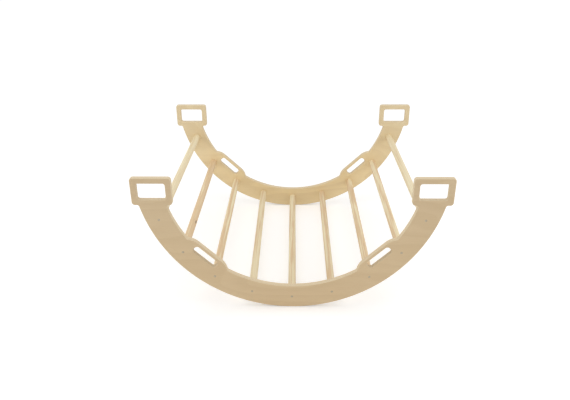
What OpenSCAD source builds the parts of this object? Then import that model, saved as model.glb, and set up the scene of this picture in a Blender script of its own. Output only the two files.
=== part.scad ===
// Wooden rocker arch for small children: two plywood side panels with curved runners,
// joined by round rungs that sit in blind sockets and are held by a screw at each end.
// Millimetres. X runs along the arch, Y across it and Z up. The origin is on the floor
// under the middle of the arch, in line with the points where both runners touch it.

/* [Overall] */
// Width of the arch, over the outer faces of the two side panels
overall_w = 800; // [500:5:1000]
// Height of the handle tops above the floor while the arch stands on its runners
overall_h = 474; // [440:1:490]

/* [Side panels] */
// Thickness of the plywood
panel_t = 18; // [16:1:24]
// Radius of the runner, the curved edge that rocks on the floor
runner_r = 492; // [480:1:520]
// Width of the curved rim, from the runner to the inner edge
rim_w = 83; // [75:1:95]

// Round-over along the mouths of the hand holes
edge_r = 3; // [1:0.5:5]

/* [End handles] */
// Height of the handle frame at each end of a panel
handle_h = 92; // [80:1:110]
// How far the frame stands past the rim on either side, along its underside
handle_overhang = 21; // [20:1:40]
// Width of the bars round the handle hole
handle_bar = 19; // [15:1:24]
// Radius of the frame's corners
handle_corner_r = 10; // [7:1:11]
// Corner radius of the handle hole
handle_hole_r = 7; // [6:1:14]
// Radius of the hollow where the frame's underside runs into the rim
neck_r = 7; // [4:1:8]

/* [Side grips] */
// Angle from the lowest point of the rim to the middle of a side grip
grip_angle = 43.5; // [36:0.5:50]
// Length of the grip's flat top
grip_flat = 98; // [80:1:120]
// How far the flat top stands proud of the rim's inner edge
grip_rise = 22; // [18:1:30]
// Radius of the shoulder at each end of the flat top
shoulder_r = 60; // [40:1:80]
// Radius of the hollow where a shoulder runs into the rim
shoulder_foot_r = 8; // [4:1:14]
// Length of the grip's slot
slot_l = 94; // [70:1:110]
// Width of the grip's slot
slot_w = 25; // [22:1:30]
// Corner radius of the slot
slot_corner_r = 10; // [6:0.5:10.5]
// Width of the wood between the slot and the flat top
grip_bar = 11; // [10.5:0.5:18]

/* [Rungs] */
// Number of rungs
rung_count = 9; // [5:1:11]
// Diameter of a rung
rung_d = 26; // [22:1:32]
// Distance from the runner to the middle of the rungs
rung_inset = 41.5; // [36:0.5:50]
// Angle at the rim's centre between the first rung and the last
rung_span = 138; // [120:1:142]
// Depth of the blind socket that holds a rung's end
socket_depth = 10; // [6:0.5:12]
// Gap between a rung and its socket, all round
rung_fit = 0.1; // [0.05:0.05:0.3]
// Chamfer on a rung's ends
rung_chamfer = 1; // [0.5:0.25:2]

/* [Rung screws] */
// Length of a screw, from the top of its head to its tip
screw_l = 50; // [40:1:70]
// Diameter of the screw's shank
screw_d = 4; // [3.5:0.5:6]
// Diameter of the screw's core, which fills the pilot bore
screw_core_d = 2.8; // [2:0.1:3.4]
// Diameter of the countersunk head
screw_head_d = 8; // [7.5:0.5:12]
// Length of the plain shank under the head
screw_shank_l = 16; // [10:1:24]
// Distance across the flats of the hexagon socket
screw_key = 2.5; // [2:0.5:3]
// Depth of the hexagon socket
screw_key_depth = 1.5; // [1:0.1:1.8]
// Gap round a screw in the panel's hole and in the rung's pilot bore
screw_fit = 0.1; // [0.05:0.05:0.3]
// How much deeper than the screw the pilot bore is drilled
pilot_spare = 3; // [1:0.5:8]

/* [Hidden] */
$fn = 120;

plywood_colour = "#c9b491";
dowel_colour = "#ddc8a6";
steel_colour = "#8d9194";

// How far a cut runs past the surface that it opens
cut = 1;

half_t = panel_t / 2;
inner_r = runner_r - rim_w;
rung_circle_r = runner_r - rung_inset;
rung_step = rung_span / (rung_count - 1);
rung_l = overall_w - 2 * panel_t + 2 * socket_depth;
wall_behind_socket = panel_t - socket_depth;
screw_head_h = (screw_head_d - screw_d) / 2;

// The handle frame stands across the end of the rim, its underside level
handle_base_z = overall_h - handle_h;
rim_drop = runner_r - handle_base_z;
rim_outer_x = sqrt(pow(runner_r, 2) - pow(rim_drop, 2));
rim_inner_x = sqrt(pow(inner_r, 2) - pow(rim_drop, 2));
handle_w = rim_outer_x - rim_inner_x + 2 * handle_overhang;
handle_x = (rim_outer_x + rim_inner_x) / 2;
handle_z = overall_h - handle_h / 2;
// How far an arc runs past an edge or a face that it would otherwise just touch
bite = 0.15;
// How far a piece of the outline runs into the wood beside it
root = 8;

// Height of the slot's centre line over the rim's inner edge, towards the rim's centre
slot_rise = grip_rise - grip_bar - slot_w / 2;
shoulder_centre = [grip_flat / 2, grip_rise - shoulder_r];
foot_reach = shoulder_foot_r - bite;
foot_centre = circles_meet(
    shoulder_centre, shoulder_r + foot_reach, [0, inner_r], inner_r - foot_reach
);
foot_from = bearing(shoulder_centre, foot_centre);
foot_to = bearing([0, inner_r], foot_centre);

// Direction from one point to another, in degrees
function bearing(from, to) = atan2(to[1] - from[1], to[0] - from[0]);

// The right-hand one of the two points where two circles meet
function circles_meet(p, p_r, q, q_r) =
    let (gap = norm(q - p),
         along = (pow(p_r, 2) - pow(q_r, 2) + pow(gap, 2)) / (2 * gap),
         aside = sqrt(pow(p_r, 2) - pow(along, 2)),
         way = (q - p) / gap)
    p + along * way + aside * [way[1], -way[0]];

// Places its children at the four corners of a rectangle
module at_corners(w, h)
    for (side = [-1, 1], end = [-1, 1]) translate([side * w / 2, end * h / 2]) children();

// Rectangle with round corners, centred on the origin
module round_rectangle(w, h, corner_r) {
    square([w - 2 * corner_r, h], center = true);
    square([w, h - 2 * corner_r], center = true);
    at_corners(w - 2 * corner_r, h - 2 * corner_r) circle(corner_r);
}

// Wood outside a hollow corner's arc, between two directions from the arc's centre
module hollow_corner(r, from, to) {
    reach = r + root;
    middle = (from + to) / 2;
    difference() {
        polygon([
            [0, 0],
            reach * [cos(from), sin(from)],
            reach / cos((to - from) / 2) * [cos(middle), sin(middle)],
            reach * [cos(to), sin(to)]
        ]);
        circle(r);
    }
}

// Curved rim, cut off level inside the two handle frames
module rim_outline()
    difference() {
        translate([0, runner_r]) circle(runner_r);
        translate([0, runner_r]) circle(inner_r);
        translate([-runner_r - cut, handle_base_z + handle_bar / 2]) square(2 * (runner_r + cut));
    }

// Handle frame at the +X end, with the hollow corners where the rim runs into it
module handle_outline() {
    neck_reach = neck_r - bite;
    neck_drop = rim_drop + neck_reach;
    neck_z = runner_r - neck_drop;
    outer_neck_r = runner_r + neck_reach;
    inner_neck_r = inner_r - neck_reach;
    translate([handle_x, handle_z]) round_rectangle(handle_w, handle_h, handle_corner_r);
    translate([sqrt(pow(outer_neck_r, 2) - pow(neck_drop, 2)), neck_z])
        hollow_corner(neck_r, 90, 180 - asin(neck_drop / outer_neck_r));
    translate([sqrt(pow(inner_neck_r, 2) - pow(neck_drop, 2)), neck_z])
        hollow_corner(neck_r, -asin(neck_drop / inner_neck_r), 90);
}

// Turns its children from the lowest point of the rim's inner edge to a side grip
module at_grip()
    translate([0, runner_r]) rotate(grip_angle) translate([0, -inner_r]) children();

// Raised grip on the rim's inner edge: a flat top whose shoulders curve down into the rim
module grip_outline() {
    translate([-grip_flat / 2, -root]) square([grip_flat, root + grip_rise]);
    for (end = [0, 1]) mirror([end, 0]) {
        translate(shoulder_centre) intersection() {
            circle(shoulder_r);
            square(shoulder_r + cut);
        }
        translate(foot_centre) hollow_corner(shoulder_foot_r, foot_from - 180, foot_to);
    }
}

// Outline of a side panel seen from its outer side: Y is its height, from the floor up
module panel_outline() {
    rim_outline();
    for (side = [0, 1]) mirror([side, 0]) {
        handle_outline();
        at_grip() grip_outline();
    }
}

// Half the cross-section of a hand hole, from its middle to its wall, with both mouths eased
module hole_section(half_w) {
    translate([0, -half_t - cut]) square([half_w, panel_t + 2 * cut]);
    for (face = [0, 1]) mirror([0, face]) translate([half_w, half_t - edge_r]) difference() {
        square([edge_r, edge_r + cut]);
        translate([edge_r, bite]) circle(edge_r);
    }
}

// Straight stretch of a hand hole, running along X
module hole_stretch(l, w)
    for (side = [0, 1]) mirror([0, side, 0]) rotate([90, 0, 90])
        linear_extrude(l, center = true) hole_section(w / 2);

// Hand hole through the panel, with round corners
module hand_hole(w, h, corner_r) {
    hole_stretch(w - 2 * corner_r, h);
    rotate([0, 0, 90]) hole_stretch(h - 2 * corner_r, w);
    at_corners(w - 2 * corner_r, h - 2 * corner_r) rotate_extrude() hole_section(corner_r);
}

// Places its children at a rung's end on the panel, outer face up
module at_rung(i) {
    a = (i - (rung_count + 1) / 2) * rung_step;
    translate([rung_circle_r * sin(a), runner_r - rung_circle_r * cos(a), 0]) children();
}

// Blind socket, screw hole and countersink for one rung
module rung_socket() {
    translate([0, 0, -half_t - cut]) cylinder(h = socket_depth + cut, d = rung_d + 2 * rung_fit);
    cylinder(h = half_t + cut, d = screw_d + 2 * screw_fit);
    translate([0, 0, half_t - screw_head_h]) cylinder(h = screw_head_h, d1 = screw_d, d2 = screw_head_d);
    translate([0, 0, half_t]) cylinder(h = cut, d = screw_head_d);
}

// Side panel lying flat, its outer face up
module panel_board()
    difference() {
        linear_extrude(panel_t, center = true) panel_outline();
        for (side = [0, 1]) mirror([side, 0, 0]) {
            translate([handle_x, handle_z, 0])
                hand_hole(handle_w - 2 * handle_bar, handle_h - 2 * handle_bar, handle_hole_r);
            at_grip() translate([0, slot_rise, 0]) hand_hole(slot_l, slot_w, slot_corner_r);
        }
        for (i = [1:rung_count]) at_rung(i) rung_socket();
    }

// Stands a flat panel, or what is placed on it, up at the front of the arch
module stand_in_front() translate([0, half_t - overall_w / 2, 0]) rotate([90, 0, 0]) children();

// Turns a front piece half round to the back of the arch
module turned_to_back() rotate([0, 0, 180]) children();

module side_panel_front() color(plywood_colour) stand_in_front() panel_board();

module side_panel_back() color(plywood_colour) turned_to_back() stand_in_front() panel_board();

// Round rung with chamfered ends and a pilot bore for a screw in each
module rung(i) {
    r = rung_d / 2;
    pilot_r = screw_core_d / 2 + screw_fit;
    shank_r = screw_d / 2 + screw_fit;
    pilot_l = screw_l - wall_behind_socket + pilot_spare;
    shank_l = screw_shank_l + screw_head_h - wall_behind_socket + screw_fit;
    color(dowel_colour) stand_in_front() at_rung(i) translate([0, 0, half_t - overall_w / 2])
        difference() {
            rotate_extrude() polygon([
                [0, -rung_l / 2], [r - rung_chamfer, -rung_l / 2], [r, rung_chamfer - rung_l / 2],
                [r, rung_l / 2 - rung_chamfer], [r - rung_chamfer, rung_l / 2], [0, rung_l / 2]
            ]);
            for (end = [0, 1]) mirror([0, 0, end]) {
                translate([0, 0, rung_l / 2 - pilot_l]) cylinder(h = pilot_l + cut, r = pilot_r);
                translate([0, 0, rung_l / 2 - shank_l]) cylinder(h = shank_l + cut, r = shank_r);
            }
        }
}

// Countersunk wood screw with its head's top at the origin and its tip below
module rung_screw() {
    shank_r = screw_d / 2;
    core_r = screw_core_d / 2;
    shank_end = -screw_head_h - screw_shank_l;
    color(steel_colour) difference() {
        rotate_extrude() polygon([
            [0, 0], [screw_head_d / 2, 0], [shank_r, -screw_head_h], [shank_r, shank_end],
            [core_r, shank_end], [core_r, screw_d - screw_l], [0, -screw_l]
        ]);
        translate([0, 0, -screw_key_depth])
            cylinder(h = screw_key_depth + cut, d = screw_key / cos(30), $fn = 6);
    }
}

module rung_screw_front(i) stand_in_front() at_rung(i) translate([0, 0, half_t]) rung_screw();

module rung_screw_back(i)
    turned_to_back() stand_in_front() at_rung(rung_count + 1 - i) translate([0, 0, half_t]) rung_screw();

side_panel_front();
side_panel_back();
for (i = [1:rung_count]) {
    rung(i);
    rung_screw_front(i);
    rung_screw_back(i);
}
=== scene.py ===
"""Looks of a wooden rocker arch: two curved plywood side panels joined by round rungs.

Lengths are metres. X runs along the arch, Y across it and Z up, with the origin on the floor
under the middle of the arch.
"""

from __future__ import annotations

import logging
import math
from collections.abc import Sequence
from dataclasses import dataclass, field
from enum import Enum

import bpy
import numpy as np
from mathutils import Matrix, Vector, geometry


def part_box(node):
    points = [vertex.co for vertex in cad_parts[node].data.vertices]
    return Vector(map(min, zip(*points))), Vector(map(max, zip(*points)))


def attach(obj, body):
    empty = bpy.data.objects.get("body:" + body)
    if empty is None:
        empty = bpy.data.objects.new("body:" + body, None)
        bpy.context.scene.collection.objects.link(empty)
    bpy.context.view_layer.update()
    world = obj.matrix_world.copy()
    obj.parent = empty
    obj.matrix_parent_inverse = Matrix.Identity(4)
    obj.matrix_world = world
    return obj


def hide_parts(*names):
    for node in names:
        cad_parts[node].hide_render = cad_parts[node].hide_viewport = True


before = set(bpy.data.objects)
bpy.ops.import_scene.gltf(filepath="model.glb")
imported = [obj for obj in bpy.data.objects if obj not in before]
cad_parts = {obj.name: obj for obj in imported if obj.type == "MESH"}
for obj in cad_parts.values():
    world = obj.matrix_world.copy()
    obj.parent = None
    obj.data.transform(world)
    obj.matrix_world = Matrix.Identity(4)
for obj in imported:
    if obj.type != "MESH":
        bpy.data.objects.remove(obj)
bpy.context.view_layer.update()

log = logging.getLogger("rocker_arch")

BODY = "root"
WHITE = (1.0, 1.0, 1.0)
QUARTER = math.pi / 2.0
# Points that agree to a tenth of a micrometre are one point.
POINTS_PER_M = 1e7

Colour = tuple[float, float, float]
Place = tuple[float, float, float]
Span = tuple[float, float]


# ---- Shader maths ----


class Amount:
    """An amount that varies over a surface: a shader socket that works in Python expressions."""

    def __init__(self, bench: Bench, socket: bpy.types.NodeSocket) -> None:
        """Wraps an output socket of a node on the bench."""
        self.bench = bench
        self.socket = socket

    def _math(self, operation: str, *terms: Amount | float) -> Amount:
        """Adds a Math node.

        Args:
            operation: The Math node's operation.
            terms: Its inputs in order, as amounts or plain numbers.

        Returns:
            The node's result.
        """
        node = self.bench.node(
            "ShaderNodeMath", {"operation": operation}, dict(enumerate(terms))
        )
        return Amount(self.bench, node.outputs[0])

    def __add__(self, other: Amount | float) -> Amount:
        """Adds two amounts."""
        return self._math("ADD", self, other)

    def __radd__(self, other: float) -> Amount:
        """Adds an amount to a plain number."""
        return self._math("ADD", other, self)

    def __sub__(self, other: Amount | float) -> Amount:
        """Takes one amount from another."""
        return self._math("SUBTRACT", self, other)

    def __rsub__(self, other: float) -> Amount:
        """Takes an amount from a plain number."""
        return self._math("SUBTRACT", other, self)

    def __mul__(self, other: Amount | float) -> Amount:
        """Multiplies two amounts."""
        return self._math("MULTIPLY", self, other)

    def __rmul__(self, other: float) -> Amount:
        """Multiplies a plain number by an amount."""
        return self._math("MULTIPLY", other, self)

    def __truediv__(self, other: Amount | float) -> Amount:
        """Divides one amount by another."""
        return self._math("DIVIDE", self, other)

    def __rtruediv__(self, other: float) -> Amount:
        """Divides a plain number by an amount."""
        return self._math("DIVIDE", other, self)

    def __abs__(self) -> Amount:
        """Drops the sign."""
        return self._math("ABSOLUTE", self)

    def floor(self) -> Amount:
        """Rounds down to a whole number."""
        return self._math("FLOOR", self)

    def fraction(self) -> Amount:
        """Keeps what is left after rounding down."""
        return self._math("FRACT", self)

    def least(self, other: Amount | float) -> Amount:
        """Takes the smaller of two."""
        return self._math("MINIMUM", self, other)

    def most(self, other: Amount | float) -> Amount:
        """Takes the larger of two."""
        return self._math("MAXIMUM", self, other)

    def eased(self, low: float, high: float) -> Amount:
        """Rises smoothly from 0 at low to 1 at high.

        Args:
            low: Where the rise starts.
            high: Where it ends; below low, it falls instead.

        Returns:
            The eased value, from 0 to 1.
        """
        node = self.bench.node(
            "ShaderNodeMapRange",
            {"interpolation_type": "SMOOTHSTEP"},
            {"Value": self, "From Min": low, "From Max": high},
        )
        return Amount(self.bench, node.outputs["Result"])

    def blend(self, low: Amount | float, high: Amount | float) -> Amount:
        """Goes from one value to another as this goes from 0 to 1.

        Args:
            low: The value where this is 0.
            high: The value where this is 1.

        Returns:
            The blended value.
        """
        node = self.bench.node(
            "ShaderNodeMix",
            {"data_type": "FLOAT"},
            {"Factor": self, "A": low, "B": high},
        )
        return Amount(self.bench, node.outputs["Result"])


@dataclass(frozen=True)
class Figure:
    """Cloudy noise in a finish: how many clouds there are to a metre along each of three ways.

    Detail is how many finer layers it has.
    """

    first: float
    second: float
    third: float
    detail: float = 2.0


class Mixing(Enum):
    """How the second of two colours goes onto the first."""

    COVER = "MIX"
    TINT = "MULTIPLY"


class Bench:
    """The node tree of a material or of the sky, with the method that puts every node on it."""

    def __init__(self, tree: bpy.types.NodeTree) -> None:
        """Clears the tree."""
        self.tree = tree
        tree.nodes.clear()

    def node(
        self,
        kind: str,
        settings: dict[str, object] | None = None,
        values: dict[str | int, object] | None = None,
    ) -> bpy.types.Node:
        """Adds a node.

        Args:
            kind: Blender's name for the node's type.
            settings: The node's own properties, which are set first.
            values: What goes into its sockets, by name or number: amounts, sockets, numbers,
                colours or vectors.

        Returns:
            The new node.
        """
        node = self.tree.nodes.new(kind)
        for name, value in (settings or {}).items():
            setattr(node, name, value)
        for name, value in (values or {}).items():
            socket = self._input(node, name)
            source = value.socket if isinstance(value, Amount) else value
            if isinstance(source, bpy.types.NodeSocket):
                self.tree.links.new(source, socket)
            elif socket.type == "RGBA":
                socket.default_value = (*source, 1.0)
            else:
                socket.default_value = source
        return node

    @staticmethod
    def _input(node: bpy.types.Node, name: str | int) -> bpy.types.NodeSocket:
        """Finds an input that is in use, because a Mix node has several of one name.

        Args:
            node: The node.
            name: The input's name or number.

        Returns:
            The input.
        """
        if isinstance(name, int):
            return node.inputs[name]
        return next(s for s in node.inputs if s.name == name and s.enabled)

    def _parts(self, output: str) -> tuple[Amount, Amount, Amount]:
        """Splits one of the surface's own coordinates.

        Args:
            output: Its name on the Texture Coordinate node.

        Returns:
            Its X, Y and Z.
        """
        coordinates = self.node("ShaderNodeTexCoord")
        parts = self.node(
            "ShaderNodeSeparateXYZ", values={"Vector": coordinates.outputs[output]}
        )
        return tuple(Amount(self, parts.outputs[axis]) for axis in "XYZ")

    def place(self) -> tuple[Amount, Amount, Amount]:
        """Gives the X, Y and Z of a point of the piece, in metres."""
        return self._parts("Object")

    def facing(self) -> tuple[Amount, Amount, Amount]:
        """Gives the X, Y and Z of the way the surface faces, one long."""
        return self._parts("Normal")

    def seen(self) -> Amount:
        """Tells what the camera sees from what only gives light.

        Returns:
            1 for what is seen, also by reflection or through glass, and 0 for light.
        """
        rays = self.node("ShaderNodeLightPath").outputs
        seen = Amount(self, rays["Is Camera Ray"])
        for kind in ("Is Glossy Ray", "Is Transmission Ray"):
            seen = seen.most(Amount(self, rays[kind]))
        return seen

    def _joined(self, parts: Sequence[Amount | float]) -> bpy.types.NodeSocket:
        """Joins X, Y and Z to a vector."""
        node = self.node("ShaderNodeCombineXYZ", values=dict(zip("XYZ", parts)))
        return node.outputs["Vector"]

    def length(self, parts: Sequence[Amount | float]) -> Amount:
        """Measures a vector.

        Args:
            parts: Its X, Y and Z.

        Returns:
            Its length.
        """
        node = self.node(
            "ShaderNodeVectorMath", {"operation": "LENGTH"}, {0: self._joined(parts)}
        )
        return Amount(self, node.outputs["Value"])

    def noise(
        self,
        figure: Figure,
        place: Sequence[Amount],
        shift: Sequence[Amount | float] = (0.0, 0.0, 0.0),
    ) -> Amount:
        """Gives cloudy noise.

        The clouds are about one unit wide where the noise is read, which is the place times
        the figure's clouds to a metre, plus the shift.

        Args:
            figure: Its clouds to a metre and its detail.
            place: The place along each of its three ways, in metres.
            shift: How many clouds it is moved along each way, so that layers and pieces differ.

        Returns:
            The noise, from 0 to 1 round 0.5.
        """
        where = [
            part * clouds + moved if moved else part * clouds
            for part, clouds, moved in zip(
                place, (figure.first, figure.second, figure.third), shift
            )
        ]
        node = self.node(
            "ShaderNodeTexNoise",
            {"noise_dimensions": "3D"},
            {"Vector": self._joined(where), "Scale": 1.0, "Detail": figure.detail},
        )
        return Amount(self, node.outputs[0])

    def colour(
        self,
        factor: Amount,
        low: Colour | bpy.types.NodeSocket,
        high: Colour | bpy.types.NodeSocket,
        mixing: Mixing = Mixing.COVER,
    ) -> bpy.types.NodeSocket:
        """Mixes two colours.

        Args:
            factor: 0 leaves the low colour as it is, and 1 puts the high one fully onto it.
            low: A colour or a link.
            high: A colour or a link.
            mixing: How the high one goes onto the low one.

        Returns:
            The mixed colour's socket.
        """
        node = self.node(
            "ShaderNodeMix",
            {"data_type": "RGBA", "blend_type": mixing.value},
            {"Factor": factor, "A": low, "B": high},
        )
        return next(s for s in node.outputs if s.enabled)

    def bump(self, height: Amount, depth: float) -> bpy.types.NodeSocket:
        """Turns relief into a normal.

        Args:
            height: The relief, from 0 to 1.
            depth: How deep it is, in metres.

        Returns:
            The normal's socket.
        """
        node = self.node(
            "ShaderNodeBump",
            values={"Strength": 1.0, "Distance": depth, "Height": height},
        )
        return node.outputs["Normal"]

    def surface(self, **values: object) -> None:
        """Adds the surface shader and the output, and joins them.

        Args:
            values: What goes into the shader's sockets, with _ for a space in their names.
        """
        shader = self.node(
            "ShaderNodeBsdfPrincipled",
            values={name.replace("_", " "): value for name, value in values.items()},
        )
        self.node(
            "ShaderNodeOutputMaterial", values={"Surface": shader.outputs["BSDF"]}
        )


def linear(red: int, green: int, blue: int) -> Colour:
    """Turns a colour of 0 to 255 as it shows on a screen into linear light.

    A dark value is divided by 12.92. Any other is raised by 0.055, divided by 1.055 and taken
    to the power 2.4.

    Args:
        red: Screen value.
        green: Screen value.
        blue: Screen value.

    Returns:
        The linear colour.
    """
    shown = np.array([red, green, blue]) / 255.0
    light = np.where(
        shown <= 0.04045, shown / 12.92, ((shown + 0.055) / 1.055) ** 2.4
    )
    return tuple(float(v) for v in light)


# ---- Finishes ----


@dataclass(frozen=True)
class Finish:
    """A finish for one material, whose kinds say what their surface is like."""

    name: str

    def material(self) -> bpy.types.Material:
        """Makes the material.

        Returns:
            The material, with the finish laid out on a bench of its own.
        """
        material = bpy.data.materials.new(self.name)
        material.use_nodes = True
        self.lay_out(Bench(material.node_tree))
        return material

    def lay_out(self, bench: Bench) -> None:
        """Puts the finish's nodes on the bench."""
        raise NotImplementedError


def growth_rings(
    phase: Amount, early: float, late: float = 0.85, end: float = 0.9
) -> Amount:
    """Shades the growth rings of wood, which darken slowly and end sharply.

    Args:
        phase: Rises by 1 from each ring to the next.
        early: Where in a ring the shade sets in.
        late: Where it is full.
        end: Where it starts to fall back to nothing at the ring's end.

    Returns:
        The shade, from 0 in early wood to 1 in late wood.
    """
    part = phase.fraction()
    return part.eased(early, late) * part.eased(1.0, end)


@dataclass(frozen=True)
class BirchPlywood(Finish):
    """Clear-lacquered birch plywood: calm face veneers along X and striped edges.

    Top tone and light, from 0 to 1, is how much of the cool tint the board takes on towards its
    top: partly a paler tone of the veneer there, partly painted light, as if the top got whiter
    light than the lower board. A figure's three ways are along the grain, through the board and
    across the grain, but for the shade's, which are through the plies, along and across. A rise
    says where a mask starts and where it is full. A share is how strongly a full mask shows. A
    tone, cut, relief or rough is what the feature in its name adds to the tone, the share of a
    cut's colour, the relief or the roughness.
    """

    pale: Colour
    dark: Colour
    top_tone_and_light: float
    top_tone_and_light_tint: Colour = linear(240, 244, 255)
    ring: Colour = linear(192, 162, 118)
    end_grain: Colour = linear(206, 184, 149)
    long_grain: Colour = linear(234, 218, 185)
    glue: Colour = linear(162, 134, 102)
    inner_face: float = 0.382
    thickness: float = 0.018
    plies: int = 13
    ply_shift: float = 5.7
    clouds: Figure = Figure(3.0, 9.0, 9.0, detail=3.0)
    drift: Figure = Figure(1.5, 9.0, 6.5, detail=1.5)
    drift_shift: float = 3.1
    streaks: Figure = Figure(14.0, 300.0, 330.0, detail=3.0)
    fibre: Figure = Figure(60.0, 1400.0, 1400.0)
    pores: Figure = Figure(300.0, 2600.0, 2600.0)
    shade: Figure = Figure(3.3, 4.0, 4.0, detail=0.0)
    rings_per_m: float = 12.0
    ring_bend: float = 11.0
    ring_early: float = 0.1
    top_tone_and_light_rise: Span = (0.14, 0.44)
    cloud_rise: Span = (0.2, 0.8)
    pore_rise: Span = (0.62, 0.72)
    edge_rise: Span = (0.02, 0.35)
    end_rise: Span = (0.15, 0.95)
    glue_rise: Span = (0.12, 0.02)
    ring_share: float = 0.14
    pore_share: float = 0.34
    glue_share: float = 0.5
    cut_share: float = 0.3
    cloud_tone: float = 0.28
    streak_tone: float = 0.4
    fibre_tone: float = 0.32
    shade_cut: float = 0.9
    fibre_cut: float = 0.7
    fibre_relief: float = 0.5
    pore_relief: float = 0.35
    ring_relief: float = 0.15
    glue_relief: float = 0.3
    fibre_rough: float = 0.1
    end_rough: float = 0.08
    roughness: float = 0.48
    relief: float = 0.00008

    def lay_out(self, bench: Bench) -> None:
        """Puts the nodes on the bench.

        A point's depth in the board gives the number of its ply. Even plies have their grain
        along X and odd ones along Z. Growth rings are the contours of slow noise drawn out
        along the grain, as in veneer peeled from a log. Where a cut crosses the grain, the
        ply shows its darker end grain, so an edge is striped, with thin glue lines.

        Args:
            bench: Where the nodes go.
        """
        x, y, z = bench.place()
        face_x, face_y, face_z = bench.facing()

        depth = (abs(y) - self.inner_face) * (self.plies / self.thickness)
        depth = depth.most(0.5).least(self.plies - 0.5)
        ply = depth.floor()
        crossed = (ply * 0.5).fraction() * 2.0
        inside = depth.fraction()
        edge = (1.0 - abs(face_y)).eased(*self.edge_rise)
        glue_line = inside.least(1.0 - inside).eased(*self.glue_rise) * edge

        along = crossed.blend(x, z)
        across = crossed.blend(z, x)
        ends = abs(crossed.blend(face_x, face_z)).eased(*self.end_rise)
        grain = (along, y, across)
        layer = ply * self.ply_shift
        clouds = bench.noise(self.clouds, grain, (0.0, layer, 0.0))
        drift = bench.noise(self.drift, grain, (0.0, layer + self.drift_shift, 0.0))
        phase = drift * self.ring_bend + across * self.rings_per_m
        rings = growth_rings(phase, self.ring_early)
        streaks = bench.noise(self.streaks, grain)
        fibre = bench.noise(self.fibre, grain)
        pores = bench.noise(self.pores, grain).eased(*self.pore_rise)
        shade = bench.noise(self.shade, (ply, along, across))

        tone = clouds.eased(*self.cloud_rise) * self.cloud_tone
        tone = tone + streaks * self.streak_tone + fibre * self.fibre_tone
        wood = bench.colour(tone, self.dark, self.pale)
        # Painted light: a cool, pale tint towards the top, partly the veneer's own tone and
        # partly light painted in, as if the top got whiter light than the lower board.
        top_tone_and_light = z.eased(*self.top_tone_and_light_rise) * self.top_tone_and_light
        wood = bench.colour(top_tone_and_light, wood, self.top_tone_and_light_tint, Mixing.TINT)
        wood = bench.colour(rings * self.ring_share, wood, self.ring)
        long_cut = edge * (self.cut_share + self.shade_cut * shade)
        wood = bench.colour(long_cut, wood, self.long_grain)
        end_cut = ends * (self.cut_share + self.fibre_cut * fibre)
        wood = bench.colour(end_cut, wood, self.end_grain)
        wood = bench.colour(pores * self.pore_share, wood, self.ring)
        wood = bench.colour(glue_line * self.glue_share, wood, self.glue)
        height = fibre * self.fibre_relief + (1.0 - pores) * self.pore_relief
        height = height + rings * self.ring_relief - glue_line * self.glue_relief
        bench.surface(
            Base_Color=wood,
            Roughness=self.roughness + self.fibre_rough * fibre + self.end_rough * ends,
            Normal=bench.bump(height, self.relief),
        )


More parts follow.
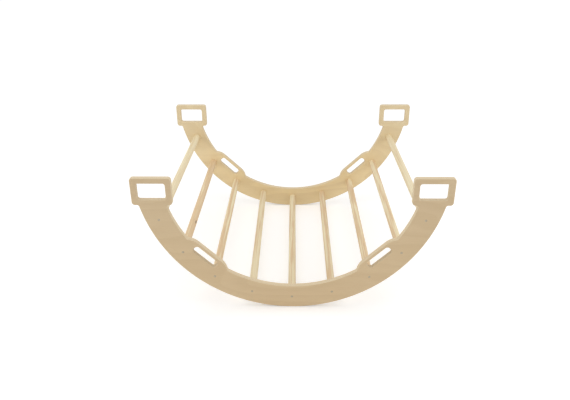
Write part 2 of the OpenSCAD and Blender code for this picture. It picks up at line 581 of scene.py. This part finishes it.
@dataclass(frozen=True)
class TurnedDowel(Finish):
    """Clear-lacquered round wood with its grain along Y.

    Warmth, from 0 to 1, is how much of the dowel is pinkish heartwood. Turned is the way its
    growth rings lie, in radians, and knot is the place of a pin knot on it, if it has one. A
    figure's three ways are X, Y and Z. The names that end in rise, share, tone, relief and
    rough mean what they do for the plywood, and the heart's rise starts and ends lower by its
    warmed, times the warmth.
    """

    warmth: float
    turned: float
    knot: Place | None = None
    pale: Colour = linear(241, 230, 195)
    dark: Colour = linear(226, 207, 167)
    heart: Colour = linear(219, 190, 150)
    late_wood: Colour = linear(204, 171, 131)
    knot_wood: Colour = linear(132, 102, 74)
    turned_shift: float = 17.0
    bend: Figure = Figure(12.0, 1.7, 12.0)
    streaks: Figure = Figure(105.0, 3.6, 105.0, detail=3.0)
    fibre: Figure = Figure(1300.0, 22.0, 1300.0)
    pores: Figure = Figure(2600.0, 260.0, 2600.0)
    rings_per_m: float = 260.0
    ring_bend: float = 7.0
    ring_early: float = 0.15
    heart_rise: Span = (0.66, 0.76)
    heart_warmed: Span = (0.42, 0.36)
    streak_rise: Span = (0.7, 0.35)
    pore_rise: Span = (0.62, 0.74)
    heart_share: float = 0.9
    ring_share: float = 0.26
    pore_share: float = 0.24
    knot_drawn: float = 0.3
    knot_rise: Span = (0.0046, 0.0018)
    knot_swing: float = 1.6
    swing_rise: Span = (0.014, 0.0)
    streak_tone: float = 0.6
    fibre_tone: float = 0.4
    fibre_relief: float = 0.6
    pore_relief: float = 0.4
    fibre_rough: float = 0.14
    roughness: float = 0.44
    relief: float = 0.00005

    def lay_out(self, bench: Bench) -> None:
        """Puts the nodes on the bench.

        Growth rings are sheets along the dowel, bent by slow noise, so they come out as lines
        and long flames where they meet the round surface. Heartwood lies in long streaks, and
        fine noise drawn out along Y gives the fibres. Round a knot, which is drawn out along Y
        too, the rings swing aside.

        Args:
            bench: Where the nodes go.
        """
        place = x, y, z = bench.place()
        shift = (self.turned_shift * self.turned, 0.0, 0.0)
        bend = bench.noise(self.bend, place, shift)
        streaks = bench.noise(self.streaks, place, shift)
        fibre = bench.noise(self.fibre, place)
        pores = bench.noise(self.pores, place).eased(*self.pore_rise)
        start, full = (
            rise - warmed * self.warmth
            for rise, warmed in zip(self.heart_rise, self.heart_warmed)
        )
        heart = streaks.eased(start, full)

        sheet = x * math.cos(self.turned) + z * math.sin(self.turned)
        phase = sheet * self.rings_per_m + bend * self.ring_bend
        core = None
        if self.knot:
            knot_x, knot_y, knot_z = self.knot
            away = bench.length((x - knot_x, (y - knot_y) * self.knot_drawn, z - knot_z))
            phase = phase + away.eased(*self.swing_rise) * self.knot_swing
            core = away.eased(*self.knot_rise)
        rings = growth_rings(phase, self.ring_early)

        tone = streaks.eased(*self.streak_rise) * self.streak_tone + fibre * self.fibre_tone
        wood = bench.colour(tone, self.dark, self.pale)
        wood = bench.colour(heart * self.heart_share, wood, self.heart)
        wood = bench.colour(rings * self.ring_share, wood, self.late_wood)
        wood = bench.colour(pores * self.pore_share, wood, self.late_wood)
        if core:
            wood = bench.colour(core, wood, self.knot_wood)
        height = fibre * self.fibre_relief + (1.0 - pores) * self.pore_relief
        bench.surface(
            Base_Color=wood,
            Roughness=self.roughness + self.fibre_rough * fibre,
            Normal=bench.bump(height, self.relief),
        )


@dataclass(frozen=True)
class ZincedSteel(Finish):
    """Zinc on a steel screw, dulled in clouds, with fine marks from the driver and the die."""

    name: str = "zinced_steel"
    bright: Colour = linear(200, 188, 167)
    dull: Colour = linear(168, 153, 131)
    clouds: Figure = Figure(420.0, 420.0, 420.0, detail=3.0)
    marks: Figure = Figure(5200.0, 900.0, 700.0)
    dull_rise: Span = (0.35, 0.65)
    metallic: float = 0.9
    cloud_rough: float = 0.2
    roughness: float = 0.34
    relief: float = 0.00002

    def lay_out(self, bench: Bench) -> None:
        """Puts the nodes on the bench, where a dull cloud is also a rougher one.

        Args:
            bench: Where the nodes go.
        """
        place = bench.place()
        clouds = bench.noise(self.clouds, place)
        marks = bench.noise(self.marks, place)
        bench.surface(
            Base_Color=bench.colour(clouds.eased(*self.dull_rise), self.bright, self.dull),
            Metallic=self.metallic,
            Roughness=self.roughness + self.cloud_rough * clouds,
            Normal=bench.bump(marks, self.relief),
        )


@dataclass(frozen=True)
class PaleFloor(Finish):
    """Plain pale matt floor that is white where it is seen, but for the shadow on it.

    Lamp is the place of the softbox above it. Short is what the open floor's own light lacks
    of white, and pool is how much less it lacks right under the lamp.
    """

    lamp: Place
    colour: Colour = (0.9, 0.9, 0.9)
    short: float = 0.42
    pool: float = 0.2

    def lay_out(self, bench: Bench) -> None:
        """Puts the nodes on the bench.

        What the floor gives back of its light falls short of white, least under the lamp,
        whose light on it is one over (1 + distance over height, squared), squared. A glow
        makes up for that, evenly over shadow and light, so the arch's shadow stays.

        Args:
            bench: Where the nodes go.
        """
        x, y, _ = bench.place()
        lamp_x, lamp_y, height = self.lamp
        away_x, away_y = (x - lamp_x) / height, (y - lamp_y) / height
        spread = away_x * away_x + away_y * away_y + 1.0
        lift = bench.seen() * (self.short - self.pool / (spread * spread))
        matt = bench.node("ShaderNodeBsdfDiffuse", values={"Color": self.colour})
        glow = bench.node(
            "ShaderNodeEmission", values={"Color": WHITE, "Strength": lift}
        )
        both = bench.node(
            "ShaderNodeAddShader",
            values={0: matt.outputs["BSDF"], 1: glow.outputs["Emission"]},
        )
        bench.node(
            "ShaderNodeOutputMaterial", values={"Surface": both.outputs["Shader"]}
        )


# ---- Outlines and shells ----


class Turn(Enum):
    """Which side of an arc the wood is on."""

    ROUND = 1.0
    HOLLOW = -1.0


@dataclass(frozen=True)
class Arc:
    """A stretch of a circle in the panel's plane, angles in radians from +X towards +Z."""

    centre: tuple[float, float]
    radius: float
    start: float
    end: float
    turn: Turn

    def sampled(self, error: float) -> tuple[np.ndarray, np.ndarray]:
        """Points and outward normals along the arc.

        A point is the centre plus the radius times (cos, sin) of its angle. A chord strays
        from its arc by the radius times its angle squared over 8, which sets the steps.

        Args:
            error: Largest distance between a chord and its arc.

        Returns:
            Points and normals, each n by 2.
        """
        step = math.sqrt(8.0 * error / self.radius)
        count = max(3, math.ceil(abs(self.end - self.start) / step) + 1)
        angles = np.linspace(self.start, self.end, count)
        ways = np.column_stack([np.cos(angles), np.sin(angles)])
        return np.array(self.centre) + self.radius * ways, self.turn.value * ways


@dataclass(frozen=True)
class Outline:
    """A closed line in the panel's plane, with the normals that point out of the wood."""

    points: np.ndarray
    normals: np.ndarray

    @classmethod
    def from_arcs(cls, arcs: Sequence[Arc], error: float) -> Outline:
        """Joins arcs by straight lines, from the end of each to the start of the next.

        Args:
            arcs: The arcs, in order.
            error: Largest distance between a chord and its arc.

        Returns:
            The outline.
        """
        pairs = [arc.sampled(error) for arc in arcs]
        return cls.closed(
            np.concatenate([points for points, _ in pairs]),
            np.concatenate([normals for _, normals in pairs]),
        )

    @classmethod
    def closed(cls, points: np.ndarray, normals: np.ndarray) -> Outline:
        """Closes a line of points and drops each one that lies on the one before it.

        Args:
            points: The points, n by 2.
            normals: Their normals, n by 2.

        Returns:
            The outline.
        """
        gaps = np.linalg.norm(points - np.roll(points, 1, axis=0), axis=1)
        keep = gaps > 1.0 / POINTS_PER_M
        return cls(points[keep], normals[keep])

    def inset(self, depth: float) -> np.ndarray:
        """The line moved into the wood along its normals."""
        return self.points - depth * self.normals

    def mirrored(self) -> Outline:
        """The outline on the other side of the arch's middle."""
        flip = np.array([-1.0, 1.0])
        return Outline((self.points * flip)[::-1], (self.normals * flip)[::-1])


def rounded_hole(
    centre: tuple[float, float],
    size: tuple[float, float],
    corner: float,
    turned: float,
    error: float,
) -> Outline:
    """Outline of a rectangular hole with round corners.

    A corner's centre is half the size less the radius from the hole's middle both ways, turned
    with the hole.

    Args:
        centre: Middle of the hole in the panel's plane.
        size: Its length and height before it is turned.
        corner: Radius of its corners.
        turned: How far it is turned, in radians.
        error: Largest distance between a chord and its arc.

    Returns:
        The outline, with the wood outside it.
    """
    half = np.array(size) / 2.0 - corner
    spin = np.array(
        [[math.cos(turned), math.sin(turned)], [-math.sin(turned), math.cos(turned)]]
    )
    arcs = []
    for quarter, signs in enumerate([(1, 1), (1, -1), (-1, -1), (-1, 1)]):
        middle = np.array(centre) + (half * signs) @ spin
        start = turned + QUARTER * (1 - quarter)
        arcs.append(Arc(tuple(middle), corner, start, start - QUARTER, Turn.HOLLOW))
    return Outline.from_arcs(arcs, error)


def into_scene(name: str, data: bpy.types.ID) -> bpy.types.Object:
    """Makes an object and puts it into the scene.

    Args:
        name: Its name.
        data: Its mesh, camera or light.

    Returns:
        The object, at the origin.
    """
    thing = bpy.data.objects.new(name, data)
    bpy.context.scene.collection.objects.link(thing)
    return thing


class Shell:
    """A closed mesh gathered from patches, each with its own exact normals."""

    def __init__(self) -> None:
        """Starts with no patches."""
        self._points: list[np.ndarray] = []
        self._normals: list[np.ndarray] = []
        self._faces: list[np.ndarray] = []
        self._count = 0

    def _add(self, points: np.ndarray, normals: np.ndarray, faces: np.ndarray) -> None:
        """Adds a patch and turns its faces to its normals.

        Args:
            points: Its points, n by 3.
            normals: Their normals, n by 3.
            faces: Its faces' corners, numbered within the patch, one face to a row.
        """
        a, b, c = (points[faces[:, k]] for k in range(3))
        facing = np.einsum("ij,ij->i", np.cross(b - a, c - a), normals[faces[:, 0]])
        faces = np.where(facing[:, None] < 0.0, faces[:, ::-1], faces)
        self._points.append(points)
        self._normals.append(normals)
        self._faces.append(faces + self._count)
        self._count += len(points)

    def band(self, rings: np.ndarray, normals: np.ndarray) -> None:
        """Adds a band of quads between rings that close on themselves.

        A quad joins two neighbours on one ring to the same two on the next.

        Args:
            rings: Points, rings by points along each by 3.
            normals: Normals of the same shape.
        """
        rows, columns = rings.shape[:2]
        row, column = np.meshgrid(
            np.arange(rows - 1), np.arange(columns), indexing="ij"
        )
        beside = (column + 1) % columns
        faces = np.stack(
            [
                row * columns + column,
                row * columns + beside,
                (row + 1) * columns + beside,
                (row + 1) * columns + column,
            ],
            axis=-1,
        )
        self._add(rings.reshape(-1, 3), normals.reshape(-1, 3), faces.reshape(-1, 4))

    def plate(self, points: np.ndarray, normal: np.ndarray, faces: np.ndarray) -> None:
        """Adds a flat patch of triangles with one normal."""
        self._add(points, np.broadcast_to(normal, points.shape), faces)

    def finished(self, name: str, material: bpy.types.Material) -> bpy.types.Object:
        """Welds the patches where they meet and makes the object.

        Args:
            name: Name of the piece.
            material: Its finish.

        Returns:
            The object, at the origin with its place in its mesh.
        """
        points = np.concatenate(self._points)
        normals = np.concatenate(self._normals)
        _, first, welded = np.unique(
            np.round(points * POINTS_PER_M).astype(np.int64),
            axis=0,
            return_index=True,
            return_inverse=True,
        )
        welded = welded.ravel()
        faces = [face for patch in self._faces for face in welded[patch].tolist()]
        mesh = bpy.data.meshes.new(name)
        mesh.from_pydata(points[first].tolist(), [], faces)
        corners = np.concatenate([patch.ravel() for patch in self._faces])
        mesh.normals_split_custom_set(normals[corners].tolist())
        mesh.materials.append(material)
        mesh.validate()
        return into_scene(name, mesh)


# ---- Sub-assemblies ----


class Side(Enum):
    """Which way a side panel's outer face looks along Y."""

    FRONT = -1.0
    BACK = 1.0


@dataclass
class SidePanel:
    """One plywood side panel: runner, rim, handle frames and side grips cut in one outline.

    In its sizes, r is a radius, w a width, h a height and l a length. Edge steps are the flats
    in a rounded edge's quarter turn, hole steps those once round a screw hole or a socket, and
    error is the largest distance between a chord and its arc.
    """

    side: Side
    node: str
    runner_r: float = 0.492
    rim_w: float = 0.083
    edge_r: float = 0.003
    handle_h: float = 0.092
    handle_overhang: float = 0.021
    handle_bar: float = 0.019
    handle_corner_r: float = 0.010
    handle_hole_r: float = 0.007
    neck_r: float = 0.007
    grip_angle: float = math.radians(43.5)
    grip_flat: float = 0.098
    grip_rise: float = 0.022
    grip_bar: float = 0.011
    shoulder_r: float = 0.060
    shoulder_foot_r: float = 0.008
    slot_l: float = 0.094
    slot_w: float = 0.025
    slot_corner_r: float = 0.010
    socket_depth: float = 0.010
    socket_gap: float = 0.0001
    edge_steps: int = 6
    hole_steps: int = 40
    error: float = 0.00001
    low: Vector = field(init=False)
    high: Vector = field(init=False)

    def __post_init__(self) -> None:
        """Reads the panel's place from the frame."""
        self.low, self.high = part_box(self.node)

    @property
    def thickness(self) -> float:
        """Thickness of the board."""
        return self.high.y - self.low.y

    @property
    def inner_r(self) -> float:
        """Radius of the rim's inner edge."""
        return self.runner_r - self.rim_w

    def _necks(self) -> tuple[Arc, Arc]:
        """Hollows where the rim runs into the +X handle frame's level underside.

        Each circle touches the underside and one edge of the rim, so its centre lies one
        radius below the underside and one radius off the rim.

        Returns:
            The outer neck's arc and then the inner one's, as the outline meets them.
        """
        r = self.neck_r
        drop = self.runner_r - (self.high.z - self.handle_h) + r
        height = self.runner_r - drop
        outer, inner = self.runner_r + r, self.inner_r - r
        outer_lean, inner_lean = math.asin(drop / outer), math.asin(drop / inner)
        outer_centre = (outer * math.cos(outer_lean), height)
        inner_centre = (inner * math.cos(inner_lean), height)
        return (
            Arc(outer_centre, r, math.pi - outer_lean, QUARTER, Turn.HOLLOW),
            Arc(inner_centre, r, QUARTER, -inner_lean, Turn.HOLLOW),
        )

    def _handle_box(self) -> tuple[float, float, float, float]:
        """Places the +X handle frame, which reaches past both edges of the rim below it.

        An edge of the rim, as a circle, meets the frame's underside as far out as the root of
        its radius squared less its centre's height over the underside squared.

        Returns:
            Its left, right, lower and upper edge in the panel's plane.
        """
        base = self.high.z - self.handle_h
        drop = self.runner_r - base
        left = math.sqrt(self.inner_r**2 - drop**2) - self.handle_overhang
        right = math.sqrt(self.runner_r**2 - drop**2) + self.handle_overhang
        return left, right, base, self.high.z

    def _frame_corners(self) -> list[Arc]:
        """Rounds the corners of the +X handle frame.

        Returns:
            Their arcs, from the lower outer corner round to the lower inner one.
        """
        left, right, base, top = self._handle_box()
        r = self.handle_corner_r
        centres = [
            (right - r, base + r),
            (right - r, top - r),
            (left + r, top - r),
            (left + r, base + r),
        ]
        return [
            Arc(centre, r, QUARTER * (k - 1), QUARTER * k, Turn.ROUND)
            for k, centre in enumerate(centres)
        ]

    def _at_grip(self, point: np.ndarray, mirror: float) -> tuple[float, float]:
        """Turns a point from the grip's own axes to its place on the panel.

        In the grip's own axes the rim's inner edge has its lowest point at the origin.

        Args:
            point: How far it lies along the grip, and up from the rim's inner edge.
            mirror: 1, or -1 for its mirror image on the other half of the grip.

        Returns:
            Its place in the panel's plane.
        """
        along, up = point[0] * mirror, point[1] - self.inner_r
        c, s = math.cos(self.grip_angle), math.sin(self.grip_angle)
        return along * c - up * s, along * s + up * c + self.runner_r

    def _grip_arcs(self) -> list[Arc]:
        """Hollow feet and shoulders of the +X side grip, from its upper foot to its lower one.

        A foot's circle touches the shoulder's circle from outside and the rim's inner edge
        from inside, so its centre is where circles round those two centres meet.

        Returns:
            The arcs, turned to the grip's place on the panel.
        """
        foot_r, shoulder_r = self.shoulder_foot_r, self.shoulder_r
        shoulder = np.array([self.grip_flat / 2.0, self.grip_rise - shoulder_r])
        middle = np.array([0.0, self.inner_r])
        gap = float(np.linalg.norm(middle - shoulder))
        way = (middle - shoulder) / gap
        reach = shoulder_r + foot_r
        along = (reach**2 - (self.inner_r - foot_r) ** 2 + gap**2) / (2.0 * gap)
        aside = math.sqrt(reach**2 - along**2)
        foot = shoulder + along * way + aside * np.array([way[1], -way[0]])
        to_foot = math.atan2(*(foot - shoulder)[::-1])
        on_rim = math.atan2(*(foot - middle)[::-1])
        feet = [self._at_grip(foot, mirror) for mirror in (1.0, -1.0)]
        shoulders = [self._at_grip(shoulder, mirror) for mirror in (1.0, -1.0)]
        g, up = self.grip_angle, QUARTER
        return [
            Arc(feet[0], foot_r, on_rim + g, to_foot - math.pi + g, Turn.HOLLOW),
            Arc(shoulders[0], shoulder_r, to_foot + g, up + g, Turn.ROUND),
            Arc(shoulders[1], shoulder_r, up + g, math.pi - to_foot + g, Turn.ROUND),
            Arc(feet[1], foot_r, g - to_foot, g - math.pi - on_rim, Turn.HOLLOW),
        ]

    def outline(self) -> Outline:
        """Outer edge of the whole panel, once round with the wood on the left.

        The +X half runs from the runner's lowest point up to the handle frame, round it and back
        along the rim's inner edge over the side grip. The -X half is its mirror image.

        Returns:
            The outline.
        """
        outer_neck, inner_neck = self._necks()
        grip = self._grip_arcs()
        middle = (0.0, self.runner_r)
        down = -QUARTER
        half = Outline.from_arcs(
            [
                Arc(middle, self.runner_r, down, outer_neck.start - math.pi, Turn.ROUND),
                outer_neck,
                *self._frame_corners(),
                inner_neck,
                Arc(middle, self.inner_r, inner_neck.end, grip[0].start, Turn.HOLLOW),
                *grip,
                Arc(middle, self.inner_r, grip[-1].end, down, Turn.HOLLOW),
            ],
            self.error,
        )
        other = half.mirrored()
        return Outline.closed(
            np.concatenate([half.points, other.points]),
            np.concatenate([half.normals, other.normals]),
        )

    def hand_holes(self) -> list[Outline]:
        """Cuts the holes of both handle frames and the slots of both side grips.

        A handle's hole leaves one bar's width all round. A slot's middle lies on the radius
        through the grip's middle, half its width and one bar short of the grip's flat top.

        Returns:
            Their outlines.
        """
        left, right, base, top = self._handle_box()
        bar = 2.0 * self.handle_bar
        handle = rounded_hole(
            ((left + right) / 2.0, (base + top) / 2.0),
            (right - left - bar, top - base - bar),
            self.handle_hole_r,
            0.0,
            self.error,
        )
        rise = self.grip_rise - self.grip_bar - self.slot_w / 2.0
        reach = self.inner_r - rise
        slot = rounded_hole(
            (
                reach * math.sin(self.grip_angle),
                self.runner_r - reach * math.cos(self.grip_angle),
            ),
            (self.slot_l, self.slot_w),
            self.slot_corner_r,
            self.grip_angle,
            self.error,
        )
        return [handle, handle.mirrored(), slot, slot.mirrored()]

    def _in_place(self, points: np.ndarray, height: np.ndarray | float) -> np.ndarray:
        """Puts points of the panel's plane into space.

        Args:
            points: Their X and Z, in the last axis.
            height: How far towards the outer face they lie from the board's middle.

        Returns:
            Their X, Y and Z, in the last axis.
        """
        middle = (self.low.y + self.high.y) / 2.0
        y = np.broadcast_to(middle + self.side.value * height, points.shape[:-1])
        return np.stack([points[..., 0], y, points[..., 1]], axis=-1)

    def _edge(self, shell: Shell, outline: Outline) -> None:
        """Adds the wall along an outline, rounded over at both faces.

        A ring's angle t goes from a quarter turn at the outer face through 0 along the straight
        wall to minus a quarter turn at the inner face. The ring lies r (1 - cos t) into the wood,
        and r (1 - |sin t|) from its face, with the normal (cos t, sin t).

        Args:
            shell: What the wall is added to.
            outline: The line that it follows.
        """
        quarter = np.linspace(QUARTER, 0.0, self.edge_steps + 1)
        lean = np.concatenate([quarter, -quarter[::-1]])
        face = np.repeat([1.0, -1.0], self.edge_steps + 1)
        height = face * (self.thickness / 2.0 - self.edge_r) + self.edge_r * np.sin(lean)
        rings, normals = [], []
        for t, h in zip(lean, height):
            into = outline.inset(self.edge_r * (1.0 - math.cos(t)))
            sideways = self._in_place(outline.normals * math.cos(t), 0.0)
            sideways[:, 1] = self.side.value * math.sin(t)
            rings.append(self._in_place(into, h))
            normals.append(sideways)
        shell.band(np.array(rings), np.array(normals))

    def _circle(self, centre: np.ndarray, radius: float) -> np.ndarray:
        """The centre plus the radius times (cos, sin) of even angles once round."""
        angles = np.linspace(0.0, 2.0 * math.pi, self.hole_steps, endpoint=False)
        return centre + radius * np.column_stack([np.cos(angles), np.sin(angles)])

    def _socket(self, shell: Shell, centre: np.ndarray, profile: np.ndarray) -> None:
        """Adds the turned walls of a screw hole and the socket behind it.

        Each step of the profile is a band with a sharp edge on both sides, whose normal is
        the step's direction turned a quarter towards the axis.

        Args:
            shell: What the walls are added to.
            centre: Where the axis meets the panel's plane.
            profile: Radius and height of each edge, n by 2, from the outer face inwards.
        """
        for start, end in zip(profile[:-1], profile[1:]):
            step = (end - start) / np.linalg.norm(end - start)
            rings = np.array(
                [self._in_place(self._circle(centre, r), h) for r, h in (start, end)]
            )
            outward = self._circle(np.zeros(2), 1.0) * step[1]
            normal = self._in_place(outward, 0.0)
            normal[:, 1] = -self.side.value * step[0]
            shell.band(rings, np.array([normal, normal]))

    def _face(self, shell: Shell, height: float, loops: list[np.ndarray]) -> None:
        """Fills a flat face between its outline and the holes in it.

        Every hole bulges outwards all round, so a triangle with its three corners on one hole
        lies in that hole and is left out.

        Args:
            shell: What the face is added to.
            height: How far towards the outer face it lies from the board's middle.
            loops: The outline and then the holes, each n by 2.
        """
        points = np.concatenate(loops)
        sizes = [len(loop) for loop in loops]
        edges = np.concatenate(
            [
                start + np.column_stack([np.arange(size), np.roll(np.arange(size), -1)])
                for start, size in zip(np.cumsum([0, *sizes]), sizes)
            ]
        )
        inside_outline, same_point = 1, 1e-9
        _, _, triangles, sources, _, _ = geometry.delaunay_2d_cdt(
            points.tolist(), edges.tolist(), [], inside_outline, same_point
        )
        source = np.array([first for first, *_ in sources])
        faces = source[np.array(triangles)]
        loop = np.repeat(np.arange(len(loops)), sizes)[faces]
        in_hole = (loop[:, 0] > 0) & (loop == loop[:, :1]).all(axis=1)
        normal = np.array([0.0, self.side.value * math.copysign(1.0, height), 0.0])
        shell.plate(self._in_place(points, height), normal, faces[~in_hole])

    def build(self, finish: bpy.types.Material, rungs: Rungs, screws: RungScrews) -> None:
        """Makes the panel with its sockets and screw holes, in place of the solid's node.

        A countersink is as deep as its radius is larger than the hole's, as under any flat
        screw head of 90 degrees.

        Args:
            finish: The plywood material.
            rungs: Gives the places and size of the sockets.
            screws: Gives the size of the holes and countersinks.
        """
        shell = Shell()
        edges = [self.outline(), *self.hand_holes()]
        for edge in edges:
            self._edge(shell, edge)
        half = self.thickness / 2.0
        floor = self.socket_depth - half
        socket_r = rungs.radius + self.socket_gap
        head_depth = screws.head_r - screws.hole_r
        profile = np.array(
            [
                (screws.head_r, half),
                (screws.hole_r, half - head_depth),
                (screws.hole_r, floor),
                (socket_r, floor),
                (socket_r, -half),
            ]
        )
        for centre in rungs.centres:
            self._socket(shell, centre, profile)
        rims = [edge.inset(self.edge_r) for edge in edges]
        for height, radius in ((half, screws.head_r), (-half, socket_r)):
            holes = [self._circle(centre, radius) for centre in rungs.centres]
            self._face(shell, height, [*rims, *holes])
        piece = shell.finished(f"plywood_{self.side.name.lower()}", finish)
        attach(piece, BODY)
        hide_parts(self.node)
        log.info("%s: %d faces", piece.name, len(piece.data.polygons))


@dataclass
class Rungs:
    """The round rungs, whose solids keep their shape and get a finish of their own here.

    Warmths has the share of heartwood in each rung, from -X to +X. Ring turn is how far, in
    radians, a rung's growth rings are turned from those of the one before. The knot is on the
    rung whose number is knotted.
    """

    nodes: list[str]
    warmths: tuple[float, ...] = (0.05, 0.95, 0.57, 0.3, 0.42, 0.6, 0.66, 0.55, 0.1)
    ring_turn: float = 2.4
    knotted: int = 2
    knot: Place = (-0.3420, -0.2000, 0.2186)
    centres: np.ndarray = field(init=False)
    radius: float = field(init=False)

    def __post_init__(self) -> None:
        """Reads each rung's axis and radius from the frame."""
        boxes = [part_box(node) for node in self.nodes]
        self.centres = np.array(
            [((low.x + high.x) / 2.0, (low.z + high.z) / 2.0) for low, high in boxes]
        )
        self.radius = max(high.x - low.x for low, high in boxes) / 2.0

    def build(self) -> None:
        """Gives every rung its material."""
        for number, (node, warmth) in enumerate(zip(self.nodes, self.warmths), 1):
            knot = self.knot if number == self.knotted else None
            finish = TurnedDowel(f"dowel_{number}", warmth, self.ring_turn * number, knot)
            dress(node, finish.material())


@dataclass
class RungScrews:
    """The countersunk screws, whose solids keep their shape and get their finish here."""

    nodes: list[str]
    hole_r: float = 0.0021
    head_r: float = field(init=False)

    def __post_init__(self) -> None:
        """Reads the size of the heads from the frame."""
        widths = [high.x - low.x for low, high in map(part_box, self.nodes)]
        self.head_r = max(widths) / 2.0

    def build(self, finish: bpy.types.Material) -> None:
        """Gives every screw its material."""
        for node in self.nodes:
            dress(node, finish)


def dress(node: str, finish: bpy.types.Material) -> None:
    """Puts a material on a node of the frame in place of its plain one.

    Args:
        node: The node's name.
        finish: The material.
    """
    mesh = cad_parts[node].data
    mesh.materials.clear()
    mesh.materials.append(finish)
    log.info("%s: %s", node, finish.name)


# ---- Studio ----


@dataclass(frozen=True)
class Viewpoint:
    """Camera fitted to the photograph, with angles in degrees.

    Yaw turns the line of sight from +Y towards +X, pitch lifts it, and roll turns the image
    about it. Nothing nearer than near or farther than far is seen.
    """

    place: Place = (0.0046, -1.9960, 1.1705)
    yaw: float = -0.95
    pitch: float = -25.71
    roll: float = -0.28
    focal_px: float = 572.48
    image_px: float = 570.0
    sensor_mm: float = 36.0
    near: float = 0.05
    far: float = 200.0

    def build(self) -> None:
        """Makes the camera and has the scene look through it."""
        data = bpy.data.cameras.new("viewpoint")
        data.sensor_width = self.sensor_mm
        data.lens = self.focal_px * self.sensor_mm / self.image_px
        data.clip_start = self.near
        data.clip_end = self.far
        yaw, pitch, roll = (math.radians(a) for a in (self.yaw, self.pitch, self.roll))
        ahead = Vector(
            (
                math.sin(yaw) * math.cos(pitch),
                math.cos(yaw) * math.cos(pitch),
                math.sin(pitch),
            )
        )
        level = Vector((math.cos(yaw), -math.sin(yaw), 0.0))
        above = level.cross(ahead)
        right = level * math.cos(roll) + above * math.sin(roll)
        up = above * math.cos(roll) - level * math.sin(roll)
        turn = Matrix((right, up, -ahead)).transposed().to_4x4()
        camera = into_scene("viewpoint", data)
        camera.matrix_world = Matrix.Translation(self.place) @ turn
        bpy.context.scene.camera = camera


@dataclass(frozen=True)
class Softbox:
    """A square soft light that looks at one point."""

    name: str
    place: Place
    size: float
    watts: float
    aim: Place = (0.0, 0.0, 0.25)

    def build(self) -> None:
        """Makes the light, turned so that its own -Z points at the aim."""
        data = bpy.data.lights.new(self.name, "AREA")
        data.shape = "SQUARE"
        data.size = self.size
        data.energy = self.watts
        turn = (Vector(self.aim) - Vector(self.place)).to_track_quat("-Z", "Y")
        light = into_scene(self.name, data)
        light.matrix_world = Matrix.Translation(self.place) @ turn.to_matrix().to_4x4()
        light.visible_camera = False


@dataclass(frozen=True)
class Studio:
    """White room with a pale floor, an even sky and soft lights above and on both sides.

    Sky is how bright it is as a light, where 1 is white. Floor half is half the floor's side.
    """

    sky: float = 0.7
    floor_half: float = 60.0
    top: Softbox = Softbox("softbox_top", (-0.1, -0.15, 1.7), size=1.4, watts=5.5)
    left: Softbox = Softbox("softbox_left", (-1.8, -0.5, 0.75), size=1.0, watts=6.5)
    right: Softbox = Softbox("softbox_right", (1.8, -0.5, 0.75), size=1.0, watts=6.5)

    def _world(self) -> None:
        """Makes the sky: plain white where it is seen, dimmer as a light."""
        world = bpy.data.worlds.new("studio")
        world.use_nodes = True
        bench = Bench(world.node_tree)
        strength = bench.seen().blend(self.sky, 1.0)
        light = bench.node(
            "ShaderNodeBackground", values={"Color": WHITE, "Strength": strength}
        )
        bench.node(
            "ShaderNodeOutputWorld", values={"Surface": light.outputs["Background"]}
        )
        bpy.context.scene.world = world

    def _floor(self) -> None:
        """Makes the floor, one square under the whole room."""
        h = self.floor_half
        mesh = bpy.data.meshes.new("floor")
        mesh.from_pydata(
            [(-h, -h, 0.0), (h, -h, 0.0), (h, h, 0.0), (-h, h, 0.0)], [], [(0, 1, 2, 3)]
        )
        mesh.materials.append(PaleFloor("floor", self.top.place).material())
        into_scene("floor", mesh)

    def build(self) -> None:
        """Makes the sky, the floor and the lights."""
        self._world()
        self._floor()
        for softbox in (self.top, self.left, self.right):
            softbox.build()
        bpy.context.scene.view_settings.view_transform = "Standard"


def main() -> None:
    """Builds the studio and every piece of the arch, and reports them."""
    logging.basicConfig(level=logging.INFO, format="%(name)s %(message)s")
    names = sorted(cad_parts)
    Viewpoint().build()
    Studio().build()
    rungs = Rungs([n for n in names if n.startswith("rung_") and "screw" not in n])
    screws = RungScrews([n for n in names if n.startswith("rung_screw_")])
    boards = {
        Side.FRONT: BirchPlywood(
            "birch_front", pale=linear(229, 205, 165), dark=linear(210, 182, 141), top_tone_and_light=0.25
        ),
        # Painted light: the back board is a lighter copy of the front's birch, partly another
        # board's own tone and partly painted light for the brighter light on the back panel's
        # inner face. Its top is also painted much paler than the front's.
        Side.BACK: BirchPlywood(
            "birch_back_tone_and_light", pale=linear(243, 221, 176), dark=linear(224, 199, 150), top_tone_and_light=0.85
        ),
    }
    for side, board in boards.items():
        panel = SidePanel(side, f"side_panel_{side.name.lower()}")
        panel.build(board.material(), rungs, screws)
    rungs.build()
    screws.build(ZincedSteel().material())


if __name__ == "__main__":
    main()
